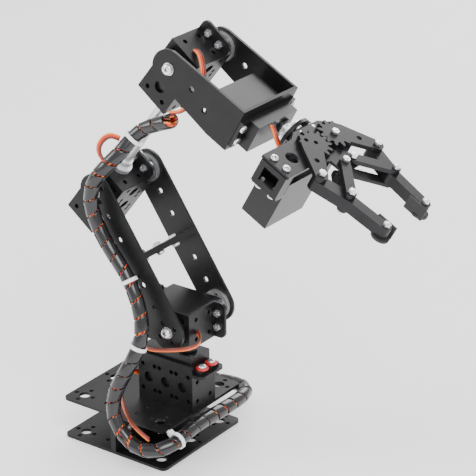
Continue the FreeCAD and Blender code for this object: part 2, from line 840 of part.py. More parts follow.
def claw_screws():
    """Screws of the gripper base: servo ears, frame, mount and the pivots that stay put."""
    solids = []
    head, shank = size("head_radius"), size("screw_radius")
    tall = size("head_height")

    def upright(x, y, z, length):
        solids.append(
            Part.makeCylinder(head, tall, Vector(x, y, z)).fuse(
                Part.makeCylinder(shank, length, Vector(x, y, z - length))
            )
        )

    def hanging(x, y, z, length):
        solids.append(
            Part.makeCylinder(head, tall, Vector(x, y, z - tall)).fuse(
                Part.makeCylinder(shank, length, Vector(x, y, z))
            )
        )

    for side in (-1, 1):
        x = gear_x + side * size("ear_hole_half")
        upright(x, servo_ends[1], plate_top, 5.0)
        for y in servo_ends:
            hanging(x, y, grip_ear, 5.5)
        hanging(screw_x, side * size("mount_screw_half"), plate_low - size("plate_thick"), 3.9)
    for n in (0, 1, 3, 4):
        angle = math.radians(40 + 72 * n)
        y, z = 10.5 * math.cos(angle), -drop + 10.5 * math.sin(angle)
        solids.append(
            Part.makeCylinder(2.6, 1.8, Vector(disc_front, y, z), X).fuse(
                Part.makeCylinder(size("small_hole") - 0.1, 2.5, Vector(disc_back, y, z), X)
            )
        )
    return Part.Compound(solids)


pivot_clear = size("spline_run")
jaw_top = size("jaw_thick")
lower_bar = 2.5


def pivots():
    """Shoulder screws on which the idle gear arm and the two links turn."""
    solids = []
    for x, y in ((gear_x, gear_y), (0, size("link_half")), (0, -size("link_half"))):
        tall = jaw_top + size("layer_gap") - plate_low + 2
        shank = Part.makeCylinder(size("screw_radius"), tall, Vector(x, y, plate_low - 2))
        head = Part.makeCylinder(
            size("head_radius"), size("head_height"), Vector(x, y, jaw_top + size("layer_gap"))
        )
        foot = Part.makeCylinder(size("nut_radius"), 2, Vector(x, y, plate_low - 2))
        collar = Part.makeCylinder(2.6, size("plate_gap") - 0.1, Vector(x, y, plate_top))
        solids.append(shank.fuse([head, foot, collar]).removeSplitter())
    return Part.Compound(solids)


feature("gripper_screws", Part.Compound([claw_screws(), pivots()]), claw)

# ---------------------------------------------------------------- jaws

teeth = 12
gear_radius = size("gear_half")
tooth_module = 2 * gear_radius / teeth


def gear_outline(phase):
    """A spur gear outline: straight-sided teeth a little thinner than the gaps between them."""
    step = 2 * math.pi / teeth
    root = gear_radius - 1.15 * tooth_module
    crest = gear_radius + 0.8 * tooth_module
    points = []
    for n in range(teeth):
        centre = phase + n * step
        for radius, spread in (
            (root, -0.33), (gear_radius, -0.22), (crest, -0.08),
            (crest, 0.08), (gear_radius, 0.22), (root, 0.33),
        ):
            angle = centre + spread * step
            points.append((radius * math.cos(angle), radius * math.sin(angle)))
    return points


def bar(start, end, width, low, thick):
    """A flat bar with rounded ends between two points."""
    way = end - start
    side = Vector(-way.y, way.x, 0).normalize() * (width / 2)
    corners = [start + side, end + side, end - side, start - side]
    solid = plate([(p.x, p.y) for p in corners], thick, low)
    ends = [tube_hole(p.x, p.y, width / 2, low, low + thick) for p in (start, end)]
    return solid.fuse(ends)


def gear_arm(side):
    """One gear arm of a jaw; side is +1 for the far jaw and -1 for the near one."""
    centre = Vector(gear_x, side * gear_y, 0)
    angle = math.radians(side * size("arm_open"))
    way = Vector(math.cos(angle), math.sin(angle), 0)
    out = Vector(-way.y, way.x, 0) * side
    knuckle = centre + way * size("finger_arm")
    phase = -side * math.pi / 2 + (0 if side < 0 else math.pi / teeth)
    wheel = plate(gear_outline(phase), jaw_top, 0)
    wheel.translate(centre)
    outer = [
        centre + out * 10.5 - way * 2, centre + out * 10 + way * 6, knuckle + out * 4.5,
        knuckle - out * 4.5, centre - out * 4.5 + way * 5, centre - out * 4.5,
    ]
    arm = plate([(p.x, p.y) for p in outer], jaw_top, 0)
    end = tube_hole(knuckle.x, knuckle.y, 4.5, 0, jaw_top)
    back = tube_hole(centre.x, centre.y, 8.0, 0, jaw_top)
    solid = arm.fuse([wheel, end, back])
    turning, fixed = size("screw_radius") + pivot_clear, size("screw_radius")
    holes = [(knuckle, turning), (centre, turning if side > 0 else fixed)]
    if side < 0:
        holes.append((centre + out * 6.5, fixed))
    cutters = [tube_hole(p.x, p.y, radius, -1, jaw_top + 1) for p, radius in holes]
    slot = centre + way * 17 + out * 1.5
    cutters.append(tube_hole(slot.x, slot.y, 1.8, -1, jaw_top + 1))
    return solid.cut(cutters).removeSplitter(), knuckle


def inner_link(side):
    """The parallel link of a jaw: two thin bars, above and below the finger."""
    start = Vector(0, side * size("link_half"), 0)
    angle = math.radians(side * size("arm_open"))
    end = start + Vector(math.cos(angle), math.sin(angle), 0) * size("finger_arm")
    hole_radius = size("screw_radius") + pivot_clear
    bars = []
    for low, thick in ((0, jaw_top), (-size("finger_depth") - 2 * size("layer_gap") - lower_bar, lower_bar)):
        holes = [tube_hole(p.x, p.y, hole_radius, low - 1, low + thick + 1) for p in (start, end)]
        bars.append(bar(start, end, 6.8, low, thick).cut(holes))
    return bars, end


def finger(side, outer, inner):
    """A finger: a thick bar from the gear arm's knuckle past the link's to the tip."""
    tip = Vector(size("tip_place"), side * size("tip_half"), 0)
    low = -size("layer_gap") - size("finger_depth")
    solid = bar(outer, inner, 9.0, low, size("finger_depth"))
    solid = solid.fuse([bar(inner, tip, 7.6, low, size("finger_depth"))])
    solid = solid.cut([
        tube_hole(p.x, p.y, size("screw_radius"), low - 1, 1) for p in (outer, inner, tip)
    ])
    relief = bar(inner * 0.82 + tip * 0.18, inner * 0.22 + tip * 0.78, 2.6, low - 0.1, 3.0)
    return solid.cut(relief).removeSplitter(), tip, low


def finger_pad(side, tip, low):
    """The rubber pad at a finger tip: a round foot and a thin block on the gripping side."""
    foot = tube_hole(tip.x, tip.y, 6.0, low - pad_thick, low)
    face = [tip.y - side * 5.4, tip.y - side * 3.9]
    block = plate(
        [(tip.x - 9, face[0]), (tip.x + 5, face[0]), (tip.x + 5, face[1]), (tip.x - 9, face[1])],
        size("finger_depth") + pad_thick, low - pad_thick,
    )
    screw_way = tube_hole(tip.x, tip.y, size("screw_radius"), low - 2, 1)
    return foot.fuse(block).cut(screw_way).removeSplitter()


def through_screw(point, head_low, foot_low):
    """A screw along the claw's upright with its nut below."""
    head_part = Part.makeCylinder(
        size("head_radius"), size("head_height"), Vector(point.x, point.y, head_low)
    )
    shank = Part.makeCylinder(
        size("screw_radius"), head_low - foot_low, Vector(point.x, point.y, foot_low)
    )
    end_nut = Part.makeCylinder(
        size("nut_radius"), foot_nut, Vector(point.x, point.y, foot_low - foot_nut)
    )
    return shank.fuse([head_part, end_nut]).removeSplitter()


pad_thick = 1.6
foot_nut = 1.8
above_arm = jaw_top + size("layer_gap")
for name, side in (("near", -1), ("far", 1)):
    arm, outer = gear_arm(side)
    bars, inner = inner_link(side)
    grip_finger, tip, low = finger(side, outer, inner)
    feature(f"{name}_gear_arm", arm, claw)
    feature(f"{name}_link", Part.Compound(bars), claw)
    feature(f"{name}_finger", grip_finger, claw)
    feature(f"{name}_finger_pad", finger_pad(side, tip, low), claw)
    screws = [
        through_screw(outer, above_arm, low),
        through_screw(inner, above_arm, low - 2 * size("layer_gap") - lower_bar),
        through_screw(tip, -size("layer_gap"), low - pad_thick),
    ]
    feature(f"{name}_finger_screws", Part.Compound(screws), claw)

# ---------------------------------------------------------------- cable harness

ROUTE = [
    (-16, 49.5, 19), (14, 50.5, 21), (41, 51, 24), (51, 38, 25), (51, 10, 25.5),
    (50.8, -20, 27), (52, -42, 24), (44, -53, 20), (29, -56, 19.5),
    (12.5, -55, 31), (9, -53.5, 48), (16, -50, 66), (22, -46.5, 78),
    (26.5, -42, 93), (23.5, -38.5, 109),
    (12, -36, 130), (-3, -36.2, 146.5), (-12.5, -36.5, 161),
    (-17, -38, 177), (-13, -38.5, 192), (-3, -36.5, 204),
    (4, -30, 213), (7, -22, 221), (15, -19.5, 228.5), (27, -19, 233.6), (38, -19.5, 238),
]
STRETCHES = {
    "harness_base": 8,
    "harness_loop": 12,
    "harness_shoulder": 14,
    "harness_arm": 16,
    "harness_elbow": 20,
    "harness_forearm": 25,
}
LEADS = {
    "yaw_servo_lead": [[
        (-1.9, -6, 44), (-7, -10, 47), (-8, -19, 49), (-2, -30, 47.5), (7, -41, 42.5),
        (15, -46.5, 36), (25, -50, 30), (38, -52, 27),
    ]],
    "shoulder_servo_lead": [[
        (49.6, -13.5, 93), (55, -16, 91), (57, -23, 89), (53, -30, 88),
        (44, -33, 86), (35, -33.2, 83.5), (28, -36, 83), (25, -39, 85.5),
    ]],
    "forearm_leads": [
        [
            (-16.2, -17, 192.9), (-15.3, -20, 197.3), (-17.5, -25, 203), (-17.5, -27.3, 210.5),
            (-12.5, -27.5, 218), (-5.5, -27, 221.8), (-0.4, -25.8, 219.8),
        ],
        [
            (51.3, -13, 284.8), (56, -15, 284), (60.5, -18.5, 280), (63.5, -21.5, 272.5),
            (63, -23.4, 264), (57, -23.6, 255.5), (49.5, -23.4, 248.5), (43, -22.6, 245),
            (37, -21.6, 243.8),
        ],
    ],
    "hand_lead": [[
        (104.9, -8, 245.4), (108, -10, 243), (110, -10.5, 238), (111.2, -8.5, 232.5),
        (110.8, -6, 227), (111.1, -4.5, 223.2),
    ]],
}


def rounded(route):
    """For each inner corner of a route: where its arc starts, its middle, its end, its radius."""
    points = [Vector(*p) for p in route]
    arcs = []
    for before, corner, after in zip(points, points[1:], points[2:]):
        back, ahead = before - corner, after - corner
        reach = 0.45 * min(back.Length, ahead.Length)
        back.normalize()
        ahead.normalize()
        turn = math.pi - back.getAngle(ahead)
        radius = reach / math.tan(turn / 2)
        depth = radius / math.cos(turn / 2) - radius
        middle = corner + (back + ahead).normalize() * depth
        arcs.append((corner + back * reach, middle, corner + ahead * reach, radius, radius * turn))
    return points, arcs


def tube(label, start, arcs, end, radius):
    """A round cable: straight runs joined by tangent arcs, from one point to another."""
    edges, length, place = [], 0.0, start
    for first, middle, last, bend, run in arcs:
        edges.append(Part.LineSegment(place, first).toShape())
        edges.append(Part.Arc(first, middle, last).toShape())
        length += (first - place).Length + run
        place = last
    edges.append(Part.LineSegment(place, end).toShape())
    length += (end - place).Length
    section = Part.Wire([Part.Circle(start, arcs[0][0] - start, radius).toShape()])
    solid = Part.Wire(edges).makePipeShell([section], True, True)
    expected = math.pi * radius**2 * length
    if abs(solid.Volume - expected) > 0.01 * expected:
        raise RuntimeError(f"{label}: the tube's volume is {solid.Volume}, not {expected}")
    bends = " ".join(f"{arc[3]:.0f}" for arc in arcs)
    print(f"{label}: length {length:.1f}, radii {bends}")
    return solid


points, arcs = rounded(ROUTE)
start, begin = points[0], 0
for label, last in STRETCHES.items():
    inner = arcs[begin:last] if last < len(points) - 1 else arcs[begin:]
    end = points[-1]
    if last < len(points) - 1:
        end = (arcs[last - 1][2] + arcs[last][0]) / 2
    feature(label, tube(label, start, inner, end, size("cable_radius")))
    start, begin = end, last
for label, routes in LEADS.items():
    tubes = []
    for route in routes:
        points, arcs = rounded(route)
        tubes.append(tube(label, points[0], arcs, points[-1], size("lead_radius")))
    feature(label, Part.Compound(tubes))

# ---------------------------------------------------------------- check and write

doc.recompute()
for thing in doc.Objects:
    if "Invalid" in thing.State or "Error" in thing.State:
        raise RuntimeError(f"{thing.Name} ({thing.Label}) failed: {thing.State}")
os.makedirs("parts", exist_ok=True)
for label, thing in parts.items():
    shape = thing.Shape
    if shape.isNull() or not shape.isValid():
        raise RuntimeError(f"{label} is not a valid shape")
    shape.exportStep(os.path.join("parts", label + ".step"))
    print(f"{label:26s} {len(shape.Solids)} solids  {shape.Volume / 1000:8.2f} cm3")
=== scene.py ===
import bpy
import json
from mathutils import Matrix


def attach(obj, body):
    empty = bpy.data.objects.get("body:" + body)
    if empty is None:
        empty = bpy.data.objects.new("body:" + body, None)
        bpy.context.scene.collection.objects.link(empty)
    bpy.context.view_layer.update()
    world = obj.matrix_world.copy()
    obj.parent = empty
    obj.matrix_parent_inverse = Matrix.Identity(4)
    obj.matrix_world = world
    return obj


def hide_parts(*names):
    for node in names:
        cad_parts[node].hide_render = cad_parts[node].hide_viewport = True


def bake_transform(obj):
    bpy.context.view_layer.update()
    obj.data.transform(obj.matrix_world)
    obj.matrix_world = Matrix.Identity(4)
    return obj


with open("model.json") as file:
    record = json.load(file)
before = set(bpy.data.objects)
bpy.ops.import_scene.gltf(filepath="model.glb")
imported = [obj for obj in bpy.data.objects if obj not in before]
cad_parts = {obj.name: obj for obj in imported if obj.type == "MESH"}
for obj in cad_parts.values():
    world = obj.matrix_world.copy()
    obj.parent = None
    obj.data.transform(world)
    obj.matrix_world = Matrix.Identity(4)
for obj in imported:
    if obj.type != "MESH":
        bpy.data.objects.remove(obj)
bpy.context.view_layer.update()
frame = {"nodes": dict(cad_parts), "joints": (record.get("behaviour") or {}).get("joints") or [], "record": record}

import json
import math

import bmesh
import bpy
from mathutils import Matrix, Vector

MM = 0.001
X, Y, Z = Vector((1, 0, 0)), Vector((0, 1, 0)), Vector((0, 0, 1))
nodes = frame["nodes"]
joints = {joint["name"]: joint for joint in frame["joints"]}
body_of = {
    node: body
    for body, members in frame["record"]["behaviour"]["bodies"].items()
    for node in members
}


# ------------------------------------------------------------------ small helpers


def pivot(name):
    """A joint's place and axis."""
    return Vector(joints[name]["pos_m"]), Vector(joints[name]["axis"])


def add_mesh(name, mesh):
    """A new object for a mesh."""
    piece = bpy.data.objects.new(name, mesh)
    bpy.context.scene.collection.objects.link(piece)
    return piece


def from_bmesh(name, bm, material=None, smooth=True):
    """A new object made from a bmesh, which is freed."""
    mesh = bpy.data.meshes.new(name)
    bmesh.ops.recalc_face_normals(bm, faces=bm.faces)
    bm.to_mesh(mesh)
    bm.free()
    if smooth:
        mesh.polygons.foreach_set("use_smooth", [True] * len(mesh.polygons))
    if material:
        mesh.materials.append(material)
    return add_mesh(name, mesh)


def apply_modifiers(piece):
    """The piece with its modifiers made part of its mesh."""
    bpy.context.view_layer.update()
    graph = bpy.context.evaluated_depsgraph_get()
    mesh = bpy.data.meshes.new_from_object(piece.evaluated_get(graph))
    piece.modifiers.clear()
    piece.data = mesh
    return piece


def sharpen(piece, angle=35):
    """Smooth shading that keeps edges sharper than the angle."""
    mesh = piece.data
    mesh.polygons.foreach_set("use_smooth", [True] * len(mesh.polygons))
    mesh.set_sharp_from_angle(angle=math.radians(angle))


def join(name, pieces):
    """One object made of several, each keeping its materials."""
    bm = bmesh.new()
    materials = []
    for piece in pieces:
        start = len(bm.faces)
        offset = {}
        for n, material in enumerate(piece.data.materials):
            if material not in materials:
                materials.append(material)
            offset[n] = materials.index(material)
        mesh = piece.data.copy()
        mesh.transform(piece.matrix_world)
        bm.from_mesh(mesh)
        bm.faces.ensure_lookup_table()
        for face in bm.faces[start:]:
            face.material_index = offset.get(face.material_index, 0)
        bpy.data.meshes.remove(mesh)
        bpy.data.objects.remove(piece)
    mesh = bpy.data.meshes.new(name)
    bm.to_mesh(mesh)
    bm.free()
    for material in materials:
        mesh.materials.append(material)
    return add_mesh(name, mesh)


def islands(node):
    """The separate solids of a CAD node, each as a list of points."""
    bm = bmesh.new()
    bm.from_mesh(nodes[node].data)
    bmesh.ops.remove_doubles(bm, verts=bm.verts, dist=1e-7)
    bm.verts.ensure_lookup_table()
    seen, found = set(), []
    for seed in bm.verts:
        if seed.index in seen:
            continue
        stack, points = [seed], []
        seen.add(seed.index)
        while stack:
            vert = stack.pop()
            points.append(vert.co.copy())
            for edge in vert.link_edges:
                other = edge.other_vert(vert)
                if other.index not in seen:
                    seen.add(other.index)
                    stack.append(other)
        found.append(points)
    bm.free()
    return found


def axes(x_axis, z_axis, origin):
    """A matrix with the given x and z axes at a place."""
    x_axis, z_axis = x_axis.normalized(), z_axis.normalized()
    y_axis = z_axis.cross(x_axis)
    turn = Matrix((x_axis, y_axis, z_axis)).transposed().to_4x4()
    turn.translation = origin
    return turn


# ------------------------------------------------------------------ materials


class Shader:
    """A node material under construction."""

    def __init__(self, name):
        self.material = bpy.data.materials.new(name)
        self.material.use_nodes = True
        self.tree = self.material.node_tree
        self.surface = self.tree.nodes["Principled BSDF"]

    def node(self, kind, **inputs):
        made = self.tree.nodes.new(kind)
        for name, value in inputs.items():
            made.inputs[name.replace("_", " ")].default_value = value
        return made

    def link(self, source, output, target, socket):
        self.tree.links.new(source.outputs[output], target.inputs[socket])

    def set(self, **values):
        for name, value in values.items():
            self.surface.inputs[name.replace("_", " ")].default_value = value

    def coordinates(self):
        return self.node("ShaderNodeTexCoord")

    def noise(self, place, scale, detail=3.0, roughness=0.55):
        made = self.node("ShaderNodeTexNoise", Scale=scale, Detail=detail, Roughness=roughness)
        self.link(place, "Object", made, "Vector")
        return made

    def ramp(self, source, output, stops):
        made = self.node("ShaderNodeValToRGB")
        while len(made.color_ramp.elements) < len(stops):
            made.color_ramp.elements.new(0.5)
        for element, (place, colour) in zip(made.color_ramp.elements, stops):
            element.position = place
            element.color = (*colour, 1) if len(colour) == 3 else colour
        self.link(source, output, made, "Fac")
        return made

    def bump(self, source, output, strength, distance, below=None):
        made = self.node("ShaderNodeBump", Strength=strength, Distance=distance)
        self.link(source, output, made, "Height")
        if below:
            self.link(below, "Normal", made, "Normal")
        self.link(made, "Normal", self.surface, "Normal")
        return made


def powder_coat(name, dark, light, rough_low, rough_high, grain=1900.0, strength=0.25):
    """Black powder coat: a fine orange-peel grain and slightly uneven gloss."""
    shader = Shader(name)
    place = shader.coordinates()
    cloud = shader.noise(place, 60.0, 4.0)
    tint = shader.ramp(cloud, "Fac", [(0.3, dark), (0.75, light)])
    shader.link(tint, "Color", shader.surface, "Base Color")
    fine = shader.noise(place, grain, 2.0)
    gloss = shader.node("ShaderNodeMapRange")
    gloss.inputs["To Min"].default_value = rough_low
    gloss.inputs["To Max"].default_value = rough_high
    shader.link(cloud, "Fac", gloss, "Value")
    shader.link(gloss, "Result", shader.surface, "Roughness")
    shader.bump(fine, "Fac", strength, 0.00008)
    shader.set(Specular_IOR_Level=0.26)
    return shader.material


def metal(name, colour, rough_low, rough_high, scratch=500.0, strength=0.08, metallic=1.0):
    """Bare metal with fine machining variation."""
    shader = Shader(name)
    place = shader.coordinates()
    cloud = shader.noise(place, 90.0, 3.0)
    darker = tuple(c * 0.78 for c in colour)
    tint = shader.ramp(cloud, "Fac", [(0.25, darker), (0.7, colour)])
    shader.link(tint, "Color", shader.surface, "Base Color")
    gloss = shader.node("ShaderNodeMapRange")
    gloss.inputs["To Min"].default_value = rough_low
    gloss.inputs["To Max"].default_value = rough_high
    shader.link(cloud, "Fac", gloss, "Value")
    shader.link(gloss, "Result", shader.surface, "Roughness")
    fine = shader.noise(place, scratch, 4.0)
    shader.bump(fine, "Fac", strength, 0.00005)
    shader.set(Metallic=metallic)
    return shader.material


def plastic(name, colour, rough, grain=1400.0, strength=0.12, variation=0.25, coat=0.0, specular=0.5):
    """Moulded plastic with a fine spark-eroded grain."""
    shader = Shader(name)
    place = shader.coordinates()
    cloud = shader.noise(place, 45.0, 3.0)
    darker = tuple(c * (1 - variation) for c in colour)
    tint = shader.ramp(cloud, "Fac", [(0.3, darker), (0.7, colour)])
    shader.link(tint, "Color", shader.surface, "Base Color")
    gloss = shader.node("ShaderNodeMapRange")
    gloss.inputs["To Min"].default_value = rough * 0.85
    gloss.inputs["To Max"].default_value = rough * 1.15
    shader.link(cloud, "Fac", gloss, "Value")
    shader.link(gloss, "Result", shader.surface, "Roughness")
    fine = shader.noise(place, grain, 2.0)
    shader.bump(fine, "Fac", strength, 0.00005)
    shader.set(Coat_Weight=coat, Coat_Roughness=0.15, Specular_IOR_Level=specular)
    return shader.material


COAT = powder_coat("powder_coat", (0.0055, 0.0055, 0.006), (0.0105, 0.0105, 0.0115), 0.3, 0.44)
CLAW_COAT = powder_coat("claw_coat", (0.008, 0.008, 0.009), (0.015, 0.015, 0.0165), 0.26, 0.38)
CASE = plastic("servo_case", (0.008, 0.008, 0.009), 0.3, specular=0.35)
STEEL = metal("plated_steel", (0.88, 0.88, 0.9), 0.2, 0.34, metallic=0.9)
# Painted shade: the screws' cross recesses get this darker steel, standing in for the shade inside the recess, not
# a different metal.
RECESS_SHADE_STEEL = metal("screw_recess_painted_shade", (0.25, 0.25, 0.26), 0.35, 0.5)
ALUMINIUM = metal("bare_aluminium", (0.93, 0.935, 0.95), 0.26, 0.4, metallic=0.86)
BRASS = metal("gear_metal", (0.62, 0.52, 0.3), 0.25, 0.4)
WRAP = plastic("spiral_wrap", (0.010, 0.010, 0.012), 0.24, strength=0.03, coat=0.25)
TIE = plastic("white_tie", (0.86, 0.86, 0.88), 0.35, strength=0.05, variation=0.05)
RED_FIBRE = plastic("red_washer", (0.62, 0.02, 0.02), 0.4)
RUBBER = plastic("pad_rubber", (0.018, 0.018, 0.018), 0.62, grain=900.0, strength=0.3)
ORANGE = plastic("orange_wire", (0.92, 0.22, 0.03), 0.38, strength=0.03, variation=0.12)
RED = plastic("red_wire", (0.66, 0.03, 0.02), 0.38, strength=0.03, variation=0.12)
BROWN = plastic("brown_wire", (0.14, 0.035, 0.015), 0.38, strength=0.03, variation=0.15)

NODE_FINISH = [
    (("harness",), WRAP),
    (("_lead",), ORANGE),
    (("_servo_case",), CASE),
    (("internals",), BRASS),
    (("_washers",), RED_FIBRE),
    (("_screws", "_bolts", "bearing"), STEEL),
    (("_horn", "spacer", "column"), ALUMINIUM),
    (("_pad",), RUBBER),
    (("claw_mount", "claw_base", "grip_servo_frame", "gear_arm", "_link", "_finger"), CLAW_COAT),
    (("bracket", "channel"), COAT),
]


def finish_of(name):
    """The material of a CAD node."""
    return next(m for words, m in NODE_FINISH if any(w in name for w in words))


for name, node in nodes.items():
    node.data.materials.clear()
    node.data.materials.append(finish_of(name))


# ------------------------------------------------------------------ screws


def lathe(bm, profile, segments):
    """Faces of a turned shape; the profile is (radius, height) from one end to the other."""
    rings = []
    for radius, height in profile:
        if radius < 1e-9:
            rings.append([bm.verts.new((0, 0, height))])
            continue
        ring = []
        for n in range(segments):
            angle = 2 * math.pi * n / segments
            ring.append(bm.verts.new((radius * math.cos(angle), radius * math.sin(angle), height)))
        rings.append(ring)
    for low, high in zip(rings, rings[1:]):
        for n in range(segments):
            m = (n + 1) % segments
            corners = [low[n % len(low)], low[m % len(low)], high[m % len(high)], high[n % len(high)]]
            unique = list(dict.fromkeys(corners))
            if len(unique) > 2:
                bm.faces.new(unique)


def pan_head():
    """A pan-head screw head of radius 1 and height 1 with a cross recess, foot on z = 0."""
    bm = bmesh.new()
    dome = [(0.0, 0.0), (0.93, 0.0), (1.0, 0.12), (1.0, 0.42)]
    dome += [
        (0.55 + 0.45 * math.cos(a), 0.42 + 0.5 * math.sin(a))
        for a in (math.radians(d) for d in (22, 45, 68, 90))
    ]
    dome += [(0.3, 0.985), (0.0, 1.0)]
    lathe(bm, dome, 28)
    head = from_bmesh("head_form", bm, STEEL)
    bm = bmesh.new()
    half_width, half_length, low = 0.105, 0.56, 0.5
    loops = ((3, 2, 1, 0), (4, 5, 6, 7), (0, 1, 5, 4), (1, 2, 6, 5), (2, 3, 7, 6), (3, 0, 4, 7))
    for turn in (0, 90):
        rotate = Matrix.Rotation(math.radians(turn), 4, "Z")
        corners = []
        for z, shrink in ((low, 0.55), (1.3, 1.1)):
            for sx, sy in ((-1, -1), (1, -1), (1, 1), (-1, 1)):
                point = Vector((sx * half_length * shrink, sy * half_width, z))
                corners.append(bm.verts.new(rotate @ point))
        for loop in loops:
            bm.faces.new([corners[i] for i in loop])
    # The cutter's darker steel passes to the recess faces, which paints shade into the cross recess.
    cross = from_bmesh("cross_form", bm, RECESS_SHADE_STEEL, smooth=False)
    cut = head.modifiers.new("cross", "BOOLEAN")
    cut.object = cross
    cut.solver = "EXACT"
    cut.use_self = True
    cut.operation = "DIFFERENCE"
    cut.material_mode = "TRANSFER"
    apply_modifiers(head)
    bpy.data.objects.remove(cross)
    sharpen(head, 40)
    return head


def hexagon():
    """A nut of radius 1 and height 1 with chamfered corners."""
    bm = bmesh.new()
    lathe(bm, [(0.55, 0.0), (0.9, 0.0), (1.0, 0.12), (1.0, 0.88), (0.9, 1.0), (0.55, 1.0)], 6)
    inner = [(0.55, 1.0), (0.5, 0.93), (0.5, 0.07), (0.55, 0.0)]
    lathe(bm, inner, 6)
    bmesh.ops.remove_doubles(bm, verts=bm.verts, dist=1e-5)
    return from_bmesh("nut_form", bm, STEEL, smooth=False)


def as_mesh(form):
    """The mesh of a form, whose object isn't needed any more."""
    mesh = form.data
    bpy.data.objects.remove(form)
    return mesh


HEAD_FORM = as_mesh(pan_head())
NUT_FORM = as_mesh(hexagon())


THREAD_PITCH = 0.5 * MM


def threaded(radius, length):
    """A threaded shank, z from 0 down to -length, with a ridged flank."""
    bm = bmesh.new()
    pitch = THREAD_PITCH
    turns = max(1, int(length / pitch))
    profile = [(0.0, 0.0), (radius * 0.99, 0.0)]
    for n in range(turns):
        profile += [(radius * 0.99, -n * pitch - 0.1 * pitch), (radius * 0.86, -(n + 0.55) * pitch)]
    profile += [(radius * 0.9, -length + 0.2 * pitch), (radius * 0.7, -length), (0.0, -length)]
    lathe(bm, profile, 14)
    shank = from_bmesh("shank", bm, STEEL)
    sharpen(shank, 50)
    return shank


def placed_copy(form, matrix):
    """An object of a form's mesh with a matrix worked into it."""
    piece = add_mesh("copy", form.copy())
    piece.data.transform(matrix)
    return piece


def axis_of(points, candidates):
    """The candidate axis about which a turned or hexagonal solid is round."""
    best, best_error = None, None
    for axis in candidates:
        across = axis.orthogonal().normalized()
        side = axis.cross(across)
        spans = []
        for way in (across, side, (across + side).normalized(), (across - side).normalized()):
            along = [p.dot(way) for p in points]
            spans.append(max(along) - min(along))
        error = (max(spans) - min(spans)) / max(spans)
        if best is None or error < best_error:
            best, best_error = axis, error
    return best


SAME_HEIGHT, SAME_RADIUS = 0.02 * MM, 0.1 * MM
HEAD_SEARCH, FOOT_SEARCH = 4 * MM, 3 * MM
NUT_SHARE = 0.7


def fastener(points, axis, spin):
    """The detailed pieces of one screw or nut that a plain solid stands for."""
    across = axis.orthogonal().normalized()
    side = axis.cross(across)
    heights = [p.dot(axis) for p in points]
    low, high = min(heights), max(heights)
    a = [p.dot(across) for p in points]
    b = [p.dot(side) for p in points]
    centre = across * ((min(a) + max(a)) / 2) + side * ((min(b) + max(b)) / 2)
    reach = [(p - centre - axis * h).length for p, h in zip(points, heights)]

    def radius_at(height):
        return max(r for r, h in zip(reach, heights) if abs(h - height) < SAME_HEIGHT)

    at_low, at_high = radius_at(low), radius_at(high)
    wide = max(reach)
    turn = Matrix.Rotation(spin, 4, "Z")
    made = []

    def head(up, top, radius, depth):
        seat = axes(across, up, top - up * depth)
        made.append(placed_copy(HEAD_FORM, seat @ turn @ Matrix.Diagonal((radius, radius, depth, 1))))
        return seat

    if abs(at_low - at_high) < SAME_RADIUS and min(at_low, at_high) > 0.9 * wide:
        place = axes(across, axis, centre + axis * low)
        made.append(placed_copy(NUT_FORM, place @ Matrix.Diagonal((wide, wide, high - low, 1))))
        return made
    ends = ((low, at_low, -axis), (high, at_high, axis))
    top, radius, up = max(ends, key=lambda end: end[1])
    other, far_radius, _ = min(ends, key=lambda end: end[1])
    depth = max(
        abs(h - top) for r, h in zip(reach, heights)
        if r > 0.97 * radius and abs(h - top) < HEAD_SEARCH
    )
    seat = head(up, centre + axis * top, radius, depth)
    thin = min(far_radius, 0.6 * radius)
    length = abs(top - other) - depth
    shank = threaded(thin, length)
    shank.data.transform(seat)
    made.append(shank)
    if far_radius > NUT_SHARE * radius:
        foot = max(
            abs(h - other) for r, h in zip(reach, heights)
            if r > 0.95 * far_radius and abs(h - other) < FOOT_SEARCH
        )
        place = axes(across, up, centre + axis * other)
        made.append(placed_copy(NUT_FORM, place @ Matrix.Diagonal((far_radius, far_radius, foot, 1))))
    return made


def fastener_set(node, *axis_list):
    """Detailed screws and nuts in place of a CAD node's plain ones, which turn about given axes."""
    made = []
    for count, points in enumerate(islands(node)):
        axis = axis_of(points, [a.normalized() for a in axis_list])
        made += fastener(points, axis, 1.3 * count)
    piece = join(node + "_detailed", made)
    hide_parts(node)
    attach(piece, body_of[node])


roll_axis = pivot("wrist_roll")[1]
claw_axis = pivot("grip")[1]
arm_way = (pivot("elbow_pitch")[0] - pivot("shoulder_pitch")[0]).normalized()
fastener_set("base_screws", Z, X)
fastener_set("shoulder_screws", Y)
fastener_set("arm_joint_bolts", arm_way)
fastener_set("forearm_screws", Y)
fastener_set("roll_servo_screws", roll_axis)
fastener_set("gripper_screws", claw_axis, roll_axis)
fastener_set("near_finger_screws", claw_axis)
fastener_set("far_finger_screws", claw_axis)

# ------------------------------------------------------------------ cable harness

ROUTE = [
    (-16, 49.5, 19), (14, 50.5, 21), (41, 51, 24), (51, 38, 25), (51, 10, 25.5),
    (50.8, -20, 27), (52, -42, 24), (44, -53, 20), (29, -56, 19.5),
    (12.5, -55, 31), (9, -53.5, 48), (16, -50, 66), (22, -46.5, 78),
    (26.5, -42, 93), (23.5, -38.5, 109),
    (12, -36, 130), (-3, -36.2, 146.5), (-12.5, -36.5, 161),
    (-17, -38, 177), (-13, -38.5, 192), (-3, -36.5, 204),
    (4, -30, 213), (7, -22, 221), (15, -19.5, 228.5), (27, -19, 233.6), (38, -19.5, 238),
]
STRETCHES = [
    ("harness_base", 8, "base", None),
    ("harness_loop", 12, "base", "turret"),
    ("harness_shoulder", 14, "turret", "upper_arm"),
    ("harness_arm", 16, "upper_arm", None),
    ("harness_elbow", 20, "upper_arm", "forearm"),
    ("harness_forearm", 25, "forearm", None),
]
WRAP_RADIUS, WRAP_THICK, WRAP_PITCH, WRAP_GAP = 5.0 * MM, 0.9 * MM, 10.6 * MM, 1.0 * MM
WRAP_SEGMENTS, WRAP_LEAST_GAP, BLEND_INSET = 26, 0.35 * MM, 5 * MM
